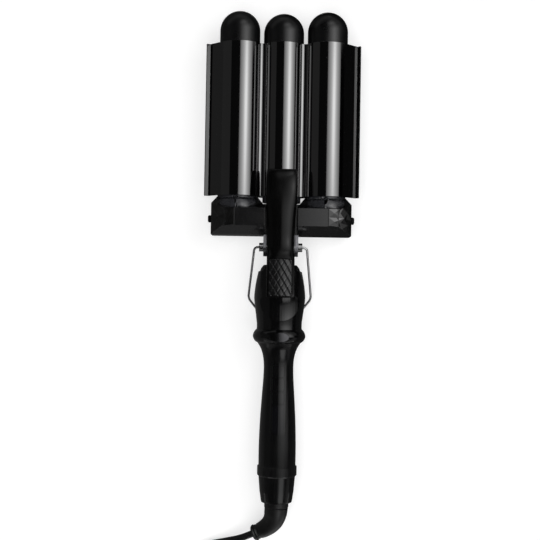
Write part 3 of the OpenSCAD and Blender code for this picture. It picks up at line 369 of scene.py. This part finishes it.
corners = [stand_end, stand_shoulder, stand_knee, stand_foot]
corners += [Vector((-p.x, p.y, p.z)) for p in reversed(corners)]
stand_points = [corners[0]]
for before, corner, after in zip(corners, corners[1:], corners[2:]):
    stand_points.append(corner + (before - corner).normalized() * stand_bend)
    stand_points.append(corner + (after - corner).normalized() * stand_bend)
stand_points.append(corners[-1])
stand = round_bar("stand_wire", stand_points, wire_radius, handles="VECTOR")
stand.data.resolution_u = 8
knots = stand.data.splines[0].bezier_points
for number, corner in enumerate(corners[1:-1]):
    first, second = knots[1 + 2 * number], knots[2 + 2 * number]
    for knot in (first, second):
        knot.handle_left_type = "FREE"
        knot.handle_right_type = "FREE"
    first.handle_right = first.co.lerp(corner, bend_pull)
    second.handle_left = second.co.lerp(corner, bend_pull)
bpy.ops.object.convert(target="MESH")
bpy.ops.object.shade_smooth_by_angle(angle=math.radians(40))
dress(stand, metal("stand_steel", (0.8, 0.8, 0.81), 0.38, 0.4, 1.5))
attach(stand, "stand")
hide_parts("wire_stand")

# ---- Crossbar ----
# Two shells of satin black ABS, screwed together from the back on the arms of the neck frame.

crossbar_abs = moulded("crossbar_abs", (0.0065, 0.0065, 0.0068), 0.14, 0.25, 0.6, gloss=0.95)
for name in ("crossbar_front_shell", "crossbar_rear_shell"):
    dress(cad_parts[name], crossbar_abs)

# ---- End plates ----
# Gloss plates moulded like cut stone, cemented over the ends of the front face. The inner panel
# falls towards the end, and beyond the fold the facets rise and dip in turn.

facet_gloss = moulded("facet_gloss", (0.005, 0.005, 0.005), 0.16, 0.4, 0.4, edge=0.1, gloss=0.7)
shell_low, shell_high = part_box("crossbar_front_shell")
fold_inset = 11                                                # from the end of the crossbar
fold = shell_high.x / MM - fold_inset                          # from its middle
fold_half = 0.3                                                # half the width of the fold
plate_cells = 6                                                # each way
plate_columns = (-7.9, -7.6, -1.2, 2.2, 6.2, 10.2, 10.5)       # from the fold outwards, in x
plate_lift = ((0.1,) * 7, (0.1, 1.4, 1.4, 1.4, 1.4, 1.4, 0.1), (0.1, 0.3, 0.9, 0.2, 0.9, 0.3, 0.1),
              (0.1, 0.5, 0.4, 2.1, 0.4, 0.9, 0.1), (0.1, 0.7, 2.0, 0.4, 2.0, 0.6, 0.1),
              (0.1, 0.5, 0.6, 0.9, 0.6, 0.5, 0.1), (0.1,) * 7)
plate_shift = (0, 0, 1.9, 0.9, 0, 0, 0)                        # every second knot goes out, or in
plate_sides = ((7.2, -0.64), (20.3, 0.36))                     # y at the fold, change beyond it
plate_rim = 0.3                                                # width of the outermost rows
fold_lean, outer_lean = 0.38, 0.707                            # sine of the lift's direction

for side in (-1, 1):
    bpy.ops.mesh.primitive_grid_add(x_subdivisions=plate_cells, y_subdivisions=plate_cells, size=1)
    plate = bpy.context.object
    plate.name = "faceted_plate_right" if side > 0 else "faceted_plate_left"
    bpy.ops.object.mode_set(mode="EDIT")
    for parity, method in ((0, "FIXED"), (1, "FIXED_ALTERNATE")):
        bpy.ops.mesh.select_all(action="DESELECT")
        bpy.ops.object.mode_set(mode="OBJECT")
        for face in plate.data.polygons:
            column = math.floor((face.center.x + 0.5) * plate_cells)
            row = math.floor((face.center.y + 0.5) * plate_cells)
            face.select = len(face.vertices) == 4 and (column + row) % 2 == parity
        bpy.ops.object.mode_set(mode="EDIT")
        bpy.ops.mesh.quads_convert_to_tris(quad_method=method)
    bpy.ops.object.mode_set(mode="OBJECT")
    for vertex in plate.data.vertices:
        column = round((vertex.co.x + 0.5) * plate_cells)
        row = round((vertex.co.y + 0.5) * plate_cells)
        x = plate_columns[column]
        if 0 < row < plate_cells:
            x += plate_shift[column] * (1 if row % 2 else -1)
        beyond = max(0, x)
        lift = plate_lift[column][row]
        first_y, last_y = (at_fold + change * beyond for at_fold, change in plate_sides)
        inner_rows = plate_cells - 2
        y = first_y + (last_y - first_y) * min(max(row - 1, 0), inner_rows) / inner_rows
        y += {0: -plate_rim, plate_cells: plate_rim}.get(row, 0)
        lean = outer_lean if x > fold_half else fold_lean if x > -fold_half else 0
        vertex.co = (side * (fold + x + lean * lift) * MM, shell_low.y + y * MM,
                     shell_high.z + (math.sqrt(1 - lean * lean) * lift - beyond) * MM)
    bpy.ops.object.mode_set(mode="EDIT")
    bpy.ops.mesh.select_all(action="SELECT")
    if side < 0:
        bpy.ops.mesh.flip_normals()
    bpy.ops.object.mode_set(mode="OBJECT")
    plate.modifiers.new("thickness", "SOLIDIFY").thickness = 0.4 * MM
    bpy.ops.object.modifier_apply(modifier="thickness")
    dress(plate, facet_gloss)
    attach(plate, "handle")
    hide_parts("right_end_plate" if side > 0 else "left_end_plate")

# ---- Sockets ----
# Turned from grey heat-proof plastic: a flared foot in the crossbar, a groove, and a ring that
# closes the end of the barrel. The centre one is hidden in the lever's saddle.

socket_plastic = moulded("socket_plastic", (0.02, 0.0205, 0.0235), 0.25, 0.25, 1, gloss=0.7)
dress(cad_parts["centre_socket"], socket_plastic)
barrel_end = barrel_low.y
barrel_offset = abs(barrel_low.x + barrel_high.x) / 2
# distance from the barrel's end and radius, from the foot upwards
socket_rings = ((-7.8, 16.6), (-4.6, 16.3), (-2.9, 15.4), (-2.5, 13.9), (-1.9, 13.7), (-1.7, 14.8),
                (-0.2, 14.9), (1.5, 14.6))
socket_root = 7                                   # length of the part inside the crossbar
for side, name in ((-1, "left_socket"), (1, "right_socket")):
    centre_x = side * barrel_offset
    foot_y, foot_radius = socket_rings[0]
    bpy.ops.mesh.primitive_cylinder_add(
        vertices=96, radius=foot_radius * MM, depth=socket_root * MM, rotation=(math.pi / 2, 0, 0),
        location=(centre_x, barrel_end + (foot_y - socket_root / 2) * MM, axis_z))
    socket = bpy.context.object
    socket.name = name + "_turned"
    bpy.ops.object.transform_apply()
    for face in socket.data.polygons:
        face.select = face.normal.y > 0.9
    bpy.ops.object.mode_set(mode="EDIT")
    bpy.ops.mesh.select_mode(type="FACE")
    for old, new in zip(socket_rings, socket_rings[1:]):
        bpy.ops.mesh.extrude_region_move(
            TRANSFORM_OT_translate={"value": (0, (new[0] - old[0]) * MM, 0)})
        bpy.ops.transform.resize(value=(new[1] / old[1], 1, new[1] / old[1]),
                                 center_override=(centre_x, barrel_end + new[0] * MM, axis_z))
    bpy.ops.object.mode_set(mode="OBJECT")
    round_edges(socket, 0.25, 3, 30)
    dress(socket, socket_plastic)
    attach(socket, "handle")
    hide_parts(name)

# ---- Crossbar screws ----
# Black pan heads with a cross recess, one in each end of the crossbar.

black_screw = metal("black_screw", (0.03, 0.03, 0.032), 0.3, 0.2, 2)
screw_low, screw_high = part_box("crossbar_end_screws")
screw_mid = (screw_low + screw_high) / 2
crossbar_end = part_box("crossbar_rear_shell")[1].x
screw_radius = 2.8 * MM
screw_height = 2.8 * MM
recess_blade = (2.6 * MM, 3.2 * MM, 0.75 * MM)    # twice its depth, its length and its width


def pick(piece):
    """Selects that piece alone and makes it the active one."""
    bpy.ops.object.select_all(action="DESELECT")
    bpy.context.view_layer.objects.active = piece
    piece.select_set(True)


def cut(piece, cutter):
    """Cuts the second object out of the first, and removes it. The piece is picked afterwards."""
    piece.modifiers.new("cut", "BOOLEAN").object = cutter
    pick(piece)
    bpy.ops.object.modifier_apply(modifier="cut")
    bpy.data.objects.remove(cutter)


for side in (-1, 1):
    bpy.ops.mesh.primitive_cylinder_add(
        vertices=48, radius=screw_radius, depth=screw_height, rotation=(0, side * math.pi / 2, 0),
        location=(side * (crossbar_end + screw_height / 2), screw_mid.y, screw_mid.z))
    head = bpy.context.object
    head.name = "pan_head_right" if side > 0 else "pan_head_left"
    bpy.ops.object.transform_apply()
    for face in head.data.polygons:
        face.select = face.normal.x * side > 0.9
    bpy.ops.object.mode_set(mode="EDIT")
    bpy.ops.mesh.bevel(offset=1.0 * MM, segments=5, affect="EDGES")
    bpy.ops.object.mode_set(mode="OBJECT")
    for angle in (45, 135):
        bpy.ops.mesh.primitive_cube_add(
            size=1, rotation=(math.radians(angle), 0, 0), scale=recess_blade,
            location=(side * (crossbar_end + screw_height), screw_mid.y, screw_mid.z))
        cut(head, bpy.context.object)
    bpy.ops.object.shade_smooth_by_angle(angle=math.radians(35))
    dress(head, black_screw)
    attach(head, "handle")
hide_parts("crossbar_end_screws")

# ---- Barrels and wave plates ----
# Aluminium tubes and sheet with a fired ceramic coat, polished to a dark mirror. The tips are
# heat-proof plastic with a fine matte grain, and a flat heater is clamped inside each barrel.


def ceramic_coat():
    """Dark glossy ceramic: a dense glaze with a faint draw along the barrels."""
    material = moulded("ceramic_coat", (0.0008, 0.0008, 0.0009), 0.075, 0.5, 0.08, edge=0.15,
                       stretch=(1, 0.02, 1))
    material.node_tree.nodes["Principled BSDF"].inputs["IOR"].default_value = 2.45
    return material


glaze = ceramic_coat()
for name in ("left_barrel", "right_barrel", "centre_barrel", "left_wave_plate",
             "right_wave_plate", "rear_wave_plate"):
    dress(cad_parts[name], glaze)
tip_plastic = moulded("tip_plastic", (0.0032, 0.0032, 0.0034), 0.3, 0.18, 2)
weld = 0.002 * MM                                 # points closer than this become one
# each tip is a welded copy of its node, so that its round end shades smoothly all over
for name, body in (("left_tip", "handle"), ("right_tip", "handle"), ("centre_tip", "clamp")):
    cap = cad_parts[name].copy()
    cap.data = cap.data.copy()
    cap.name = name + "_cap"
    bpy.context.collection.objects.link(cap)
    pick(cap)
    bpy.ops.mesh.customdata_custom_splitnormals_clear()
    bpy.ops.object.mode_set(mode="EDIT")
    bpy.ops.mesh.select_all(action="SELECT")
    bpy.ops.mesh.remove_doubles(threshold=weld)
    bpy.ops.object.mode_set(mode="OBJECT")
    bpy.ops.object.shade_smooth_by_angle(angle=math.radians(30))
    dress(cap, tip_plastic)
    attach(cap, body)
    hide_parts(name)
heater_alumina = moulded("heater_alumina", (0.68, 0.66, 0.6), 0.6, 0.3, 6)
for name in ("left_heater", "right_heater", "centre_heater"):
    dress(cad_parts[name], heater_alumina)

# ---- Lever ----
# Moulded in one piece: a saddle that carries the centre barrel, an arm that passes over the
# crossbar and the hinge pin, and a thumb end with a recess for the pad.

# distance from the hinge, half width, underside and top against the hinge axis, millimetres
lever_sections = [
    (61.4, 10.2, -1, 6), (61.2, 11.5, -1, 7.7), (59.8, 12, -1, 9), (55.5, 12.4, -1, 10.7),
    (50, 12.7, -1, 11.9), (44, 12.7, -1, 12.4), (36, 12.3, -1, 12.8), (26, 11.2, -1, 13.2),
    (14, 10.8, -1, 13.1), (5, 10.8, -4, 12.9), (-3, 10.8, -4, 14.4), (-7, 10.8, 4.5, 16.2),
    (-11, 10.8, 11.8, 18.2), (-18, 10.8, 15.8, 21.1), (-28, 10.8, 20.8, 25.3),
    (-36.5, 10.8, 25.1, 28.6), (-38.9, 10.6, 26.3, 28.9), (-39.3, 9.8, 26.9, 28.4)]
# outline of a section: across as a share of the half width, up as a share of the height
lever_outline = [(-0.92, 0), (0, 0), (0.92, 0), (1, 0.1), (1, 0.4), (1, 0.72), (0.94, 0.85),
                 (0.78, 0.94), (0.55, 0.99), (0.28, 1.003), (0, 1.003), (-0.28, 1.003),
                 (-0.55, 0.99), (-0.78, 0.94), (-0.94, 0.85), (-1, 0.72), (-1, 0.4), (-1, 0.1)]

bpy.ops.mesh.primitive_circle_add(vertices=len(lever_outline), fill_type="NGON")
lever = bpy.context.object
lever.name = "lever_moulding"
along, half, low, top = lever_sections[0]
for vertex, (across, up) in zip(lever.data.vertices, lever_outline):
    vertex.co = (across * half * MM, hinge.y + along * MM, hinge.z + (low + up * (top - low)) * MM)
bpy.ops.object.mode_set(mode="EDIT")
bpy.ops.mesh.select_all(action="SELECT")
for old, new in zip(lever_sections, lever_sections[1:]):
    bpy.ops.mesh.extrude_region_move(
        TRANSFORM_OT_translate={"value": (0, (new[0] - old[0]) * MM, (new[2] - old[2]) * MM)})
    bpy.ops.transform.resize(
        value=(new[1] / old[1], 1, (new[3] - new[2]) / (old[3] - old[2])),
        center_override=(0, hinge.y + new[0] * MM, hinge.z + new[2] * MM))
bpy.ops.mesh.select_all(action="SELECT")
bpy.ops.mesh.normals_make_consistent(inside=False)
bpy.ops.object.mode_set(mode="OBJECT")
# the arm's top is crowned over the crossbar and the pin, and flat at both ends: how far its sides
# fall at each distance from the hinge
crown = {36: 0.6, 26: 1.3, 14: 1.3, 5: 1.3, -3: 0.8}
crown_half = 9.5 * MM                             # half width at which it has fallen all the way
crown_power = 1.3
crown_bottom = 7 * MM                             # only points above this are moved
for vertex in lever.data.vertices:
    along = min(crown, key=lambda place: abs(hinge.y + place * MM - vertex.co.y))
    in_section = abs(hinge.y + along * MM - vertex.co.y) < 0.1 * MM
    if in_section and vertex.co.z > hinge.z + crown_bottom:
        share = min(abs(vertex.co.x) / crown_half, 1) ** crown_power
        vertex.co.z -= crown[along] * share * MM
rounding = lever.modifiers.new("rounding", "SUBSURF")
rounding.levels = 3
rounding.render_levels = 3
bpy.ops.object.modifier_apply(modifier="rounding")

# saddle for the barrel, seat for the socket behind it, cavity for the spring, hole for the pin
barrel_radius = (barrel_high.x - barrel_low.x) / 2
barrel_gap = 0.05 * MM
saddle_reach = 60 * MM
seat_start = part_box("crossbar_rear_shell")[0].y - 1.4 * MM
seat_end = barrel_low.y + MM
seat_radius = barrel_radius - 0.75 * MM
cavity_size = (17.2 * MM, 31.8 * MM, 21.2 * MM)
cavity_middle = (0, hinge.y + 9.4 * MM, hinge.z - 0.8 * MM)
pin_hole = 2.26 * MM
bpy.ops.mesh.primitive_cylinder_add(
    vertices=128, radius=barrel_radius + barrel_gap, depth=saddle_reach,
    location=(0, barrel_low.y + saddle_reach / 2, axis_z), rotation=(math.pi / 2, 0, 0))
cut(lever, bpy.context.object)
bpy.ops.mesh.primitive_cylinder_add(
    vertices=128, radius=seat_radius, depth=seat_end - seat_start,
    location=(0, (seat_end + seat_start) / 2, axis_z), rotation=(math.pi / 2, 0, 0))
cut(lever, bpy.context.object)
bpy.ops.mesh.primitive_cube_add(size=1, location=cavity_middle, scale=cavity_size)
cut(lever, bpy.context.object)
bpy.ops.mesh.primitive_cylinder_add(vertices=64, radius=pin_hole, depth=40 * MM, location=hinge,
                                    rotation=(0, math.pi / 2, 0))
cut(lever, bpy.context.object)

pad_slope = math.radians(21.75)
pad_length = 30.8 * MM
pad_width = 18.2 * MM
pad_depth = 1.6 * MM
pad_corner = 1.5 * MM                             # radius of its corners
pad_play = 0.2 * MM                               # the recess is that much longer and wider
pad_inset = 1.7 * MM                              # from the top of the thumb end
pad_top_end = Vector((0, hinge.y - 39.4 * MM, hinge.z + 29.4 * MM))
to_pad = (Matrix.Translation(pad_top_end) @ Matrix.Rotation(-pad_slope, 4, "X")
          @ Matrix.Translation((0, pad_inset + pad_length / 2, 0)))
bpy.ops.mesh.primitive_cube_add(
    size=1, scale=(pad_width + pad_play, pad_length + pad_play, 2 * pad_depth))
recess = bpy.context.object
bpy.ops.object.transform_apply()
for edge in recess.data.edges:
    ends = [recess.data.vertices[v].co for v in edge.vertices]
    edge.select = abs(ends[0].z - ends[1].z) > pad_depth
bpy.ops.object.mode_set(mode="EDIT")
bpy.ops.mesh.select_mode(type="EDGE")
bpy.ops.mesh.bevel(offset=pad_corner, segments=6, affect="EDGES")
bpy.ops.object.mode_set(mode="OBJECT")
recess.matrix_world = to_pad
cut(lever, recess)
bpy.ops.object.shade_smooth_by_angle(angle=math.radians(32))
dress(lever, moulded("lever_abs", (0.002, 0.002, 0.002), 0.18, 0.24, 0.5, edge=0.1, gloss=0.2))
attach(lever, "clamp")
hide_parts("lever")

# ---- Thumb pad ----
# Soft insert with a quilted face: deep grooves run down to the right, shallower ones cross them,
# and the cushions between them are a little crowned.

groove_pitch = 4.4 * MM
groove_slant = math.radians(60)
groove_depth = (0.6 * MM, 0.16 * MM)
groove_width = (0.36 * MM, 0.45 * MM)
pad_crown = 1.5 * MM                              # from the middle to its long sides
pad_proud = 0.3 * MM                              # its middle stands above the lever
pad_floor = 0.3 * MM                              # the deepest point stays over the recess
rim_fall = 0.35 * MM                              # fall of the face at its rim, over as much width

bpy.ops.mesh.primitive_grid_add(x_subdivisions=72, y_subdivisions=120, size=1)
pad = bpy.context.object
pad.name = "quilted_pad"
for vertex in pad.data.vertices:
    x, y = vertex.co.x * pad_width, vertex.co.y * pad_length
    inner_x, inner_y = pad_width / 2 - pad_corner, pad_length / 2 - pad_corner
    if abs(x) > inner_x and abs(y) > inner_y:
        out = Vector((abs(x) - inner_x, abs(y) - inner_y))
        if out.length > pad_corner:
            out = out.normalized() * pad_corner
            x, y = math.copysign(inner_x + out.x, x), math.copysign(inner_y + out.y, y)
    sink = pad_crown * (2 * x / pad_width) ** 2 - pad_proud
    for depth, width, side in zip(groove_depth, groove_width, (1, -1)):
        across = (side * x * math.sin(groove_slant) + y * math.cos(groove_slant)) / groove_pitch
        off = (across - round(across)) * groove_pitch
        sink += depth * math.exp(-(off / width) ** 2)
    rim = min(pad_width / 2 - abs(x), pad_length / 2 - abs(y))
    sink += rim_fall * math.exp(-(rim / rim_fall) ** 2)
    vertex.co = (x, y, -min(sink, pad_depth - pad_floor))
solid = pad.modifiers.new("thickness", "SOLIDIFY")
solid.thickness = 0.25 * MM
solid.offset = -1
bpy.ops.object.modifier_apply(modifier="thickness")
pad.matrix_world = to_pad
bpy.ops.object.transform_apply()
bpy.ops.object.shade_smooth_by_angle(angle=math.radians(60))
dress(pad, moulded("pad_rubber", (0.004, 0.004, 0.0043), 0.28, 0.16, 2, edge=0.1, gloss=0.7))
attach(pad, "clamp")
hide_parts("thumb_pad")

# ---- Table, backdrop and light ----
# A wide white table with a white wall round it. A softbox hangs above the waver to the right and is
# brightest in its middle; a soft lamp high above brings the light up to a plain level. Two weaker
# softboxes, beyond the tips and beyond the grip, a dim card, flags and low cards beside the waver
# show only in its gloss.


def white_card(name, colour, glow):
    """Card that shows white where it's seen straight or in a mirror, and still takes a shadow."""
    material = bpy.data.materials.new(name)
    material.use_nodes = True
    shader = material.node_tree.nodes["Principled BSDF"]
    shader.inputs["Base Color"].default_value = (colour, colour, colour, 1)
    shader.inputs["Roughness"].default_value = 0.8
    shader.inputs["Specular IOR Level"].default_value = 0.1
    shader.inputs["Emission Color"].default_value = (1, 1, 1, 1)
    path = add_node(material, "ShaderNodeLightPath")
    seen = add_node(material, "ShaderNodeMath", {0: path.outputs["Is Camera Ray"],
                                                 1: path.outputs["Is Glossy Ray"]},
                    operation="MAXIMUM")
    through = add_node(material, "ShaderNodeMath", {0: seen.outputs[0],
                                                    1: path.outputs["Is Transmission Ray"]},
                       operation="MAXIMUM")
    strength = add_node(material, "ShaderNodeMath", {0: through.outputs[0], 1: glow},
                        operation="MULTIPLY")
    material.node_tree.links.new(strength.outputs[0], shader.inputs["Emission Strength"])
    return material


def lit_cloth(name, strength):
    """A white cloth that glows evenly."""
    material = bpy.data.materials.new(name)
    material.use_nodes = True
    material.node_tree.nodes.clear()
    glow = add_node(material, "ShaderNodeEmission", {"Color": (1, 1, 1, 1), "Strength": strength})
    add_node(material, "ShaderNodeOutputMaterial", {"Surface": glow.outputs["Emission"]})
    return material


def middle_spot(cloth, size):
    """A node on the cloth that gives 1 in its middle and falls to 0 at its sides."""
    place = add_node(cloth, "ShaderNodeTexCoord")
    shrunk = add_node(cloth, "ShaderNodeMapping",
                      {"Vector": place.outputs["Object"], "Scale": [2 / size] * 3})
    return add_node(cloth, "ShaderNodeTexGradient", {"Vector": shrunk.outputs["Vector"]},
                    gradient_type="SPHERICAL")


def colour_by(cloth, output):
    """The cloth glows in the colour of another node's output."""
    cloth.node_tree.links.new(output, cloth.node_tree.nodes["Emission"].inputs["Color"])


def hang_card(name, size, location, rotation):
    """A square card in the air, turned by degrees."""
    bpy.ops.mesh.primitive_plane_add(size=size, location=location,
                                     rotation=[math.radians(angle) for angle in rotation])
    card = bpy.context.object
    card.name = name
    return card


def only_in_gloss(card):
    """The card is out of sight and gives no light: it only shows in the gloss of the waver."""
    card.visible_camera = False
    card.visible_diffuse = False
    card.visible_transmission = False
    card.visible_shadow = False


room_radius = 12
wall_height = 4
table_glow = 0.6
wall_glow = 0.9
bpy.ops.mesh.primitive_circle_add(vertices=96, radius=room_radius, fill_type="NGON",
                                  location=(0, 0, -0.1 * MM))
table = bpy.context.object
table.name = "table"
dress(table, white_card("table_white", 0.5, table_glow))
bpy.ops.mesh.primitive_cylinder_add(vertices=96, radius=room_radius, depth=wall_height,
                                    end_fill_type="NOTHING", location=(0, 0, wall_height / 2))
wall = bpy.context.object
wall.name = "wall"
dress(wall, white_card("wall_white", 0.45, wall_glow))

softbox_angle = 35                                # degrees from straight above, a metre away
softbox_size = 1.3
softbox_peak = 4.3
softbox_edge = 0.12                               # level at its sides as a share of the peak
# place between side and middle, level
softbox_levels = ((0.2, 0.22), (0.385, 0.31), (0.54, 0.4), (0.7, 0.55), (0.85, 0.83))
softbox_place = (math.sin(math.radians(softbox_angle)), 0.295,
                 axis_z + math.cos(math.radians(softbox_angle)))
softbox = hang_card("softbox", softbox_size, softbox_place, (0, softbox_angle, 0))
softbox.visible_camera = False
cloth = lit_cloth("softbox_cloth", softbox_peak)
spot = middle_spot(cloth, softbox_size)
level = add_node(cloth, "ShaderNodeValToRGB", {"Fac": spot.outputs["Fac"]})
for place_on, share in softbox_levels:
    level.color_ramp.elements.new(place_on).color = (share, share, share, 1)
level.color_ramp.elements[0].color = (softbox_edge, softbox_edge, softbox_edge, 1)
colour_by(cloth, level.outputs["Color"])
dress(softbox, cloth)

far_softbox = hang_card("far_softbox", softbox_size, (0.48, 1.0, 1.05), (-43, 20, 0))
far_cloth = lit_cloth("far_softbox_cloth", 2.6)
colour_by(far_cloth, middle_spot(far_cloth, softbox_size).outputs["Color"])
dress(far_softbox, far_cloth)
only_in_gloss(far_softbox)

near_softbox = hang_card("near_softbox", 0.6, (0.48, -0.72, 0.85), (40, 30, 0))
dress(near_softbox, lit_cloth("near_softbox_cloth", 1.6))
only_in_gloss(near_softbox)

dim_card = hang_card("dim_card", 1, (-1.2, 0, 0.68), (0, 90, 0))
dim_card.scale = (1.36, 1.6, 1)
dress(dim_card, lit_cloth("dim_cloth", 0.07))
only_in_gloss(dim_card)
black_flag = hang_card("black_flag", 1, (1.7, 0.1, 0.33), (0, 90, 0))
black_flag.scale = (0.66, 1.8, 1)
dress(black_flag, lit_cloth("flag_cloth", 0))
only_in_gloss(black_flag)
flag_height = 0.66
bpy.ops.mesh.primitive_cylinder_add(vertices=48, radius=1.8, depth=flag_height,
                                    end_fill_type="NOTHING", location=(0, 0, flag_height / 2))
grey_flags = bpy.context.object
grey_flags.name = "grey_flags"
dress(grey_flags, lit_cloth("grey_flag_cloth", 0.25))
only_in_gloss(grey_flags)

# side, first and last y, cloth and its level of the low cards; distance and height across them
side_cards = ((-1, 0, 0.7, "left_barrel_cloth", 0.055), (1, 0, 0.7, "right_barrel_cloth", 0.01),
              (-1, -0.25, 0, "left_grip_cloth", 0.14), (1, -0.25, 0, "right_grip_cloth", 0.05))
card_profile = ((0, 0.001), (0.16, 0.001), (0.2, 0.035))
for side, first_y, last_y, cloth_name, strength in side_cards:
    bpy.ops.mesh.primitive_grid_add(x_subdivisions=2, y_subdivisions=1, size=1)
    side_card = bpy.context.object
    side_card.name = cloth_name.replace("cloth", "card")
    for vertex in side_card.data.vertices:
        across, height = card_profile[round(2 * vertex.co.x + 1)]
        vertex.co = (side * across, first_y + (vertex.co.y + 0.5) * (last_y - first_y), height)
    dress(side_card, lit_cloth(cloth_name, strength))
    only_in_gloss(side_card)

bpy.ops.object.light_add(type="AREA", location=(0, -0.6, 3))
lift = bpy.context.object
lift.name = "lift"
lift.data.size = 3
lift.data.energy = 105
lift.visible_glossy = False

world = bpy.data.worlds.new("studio")
bpy.context.scene.world = world
world.use_nodes = True
world.node_tree.nodes["Background"].inputs["Color"].default_value = (1, 1, 1, 1)
world.node_tree.nodes["Background"].inputs["Strength"].default_value = 0.01

bpy.context.scene.view_settings.view_transform = "Standard"
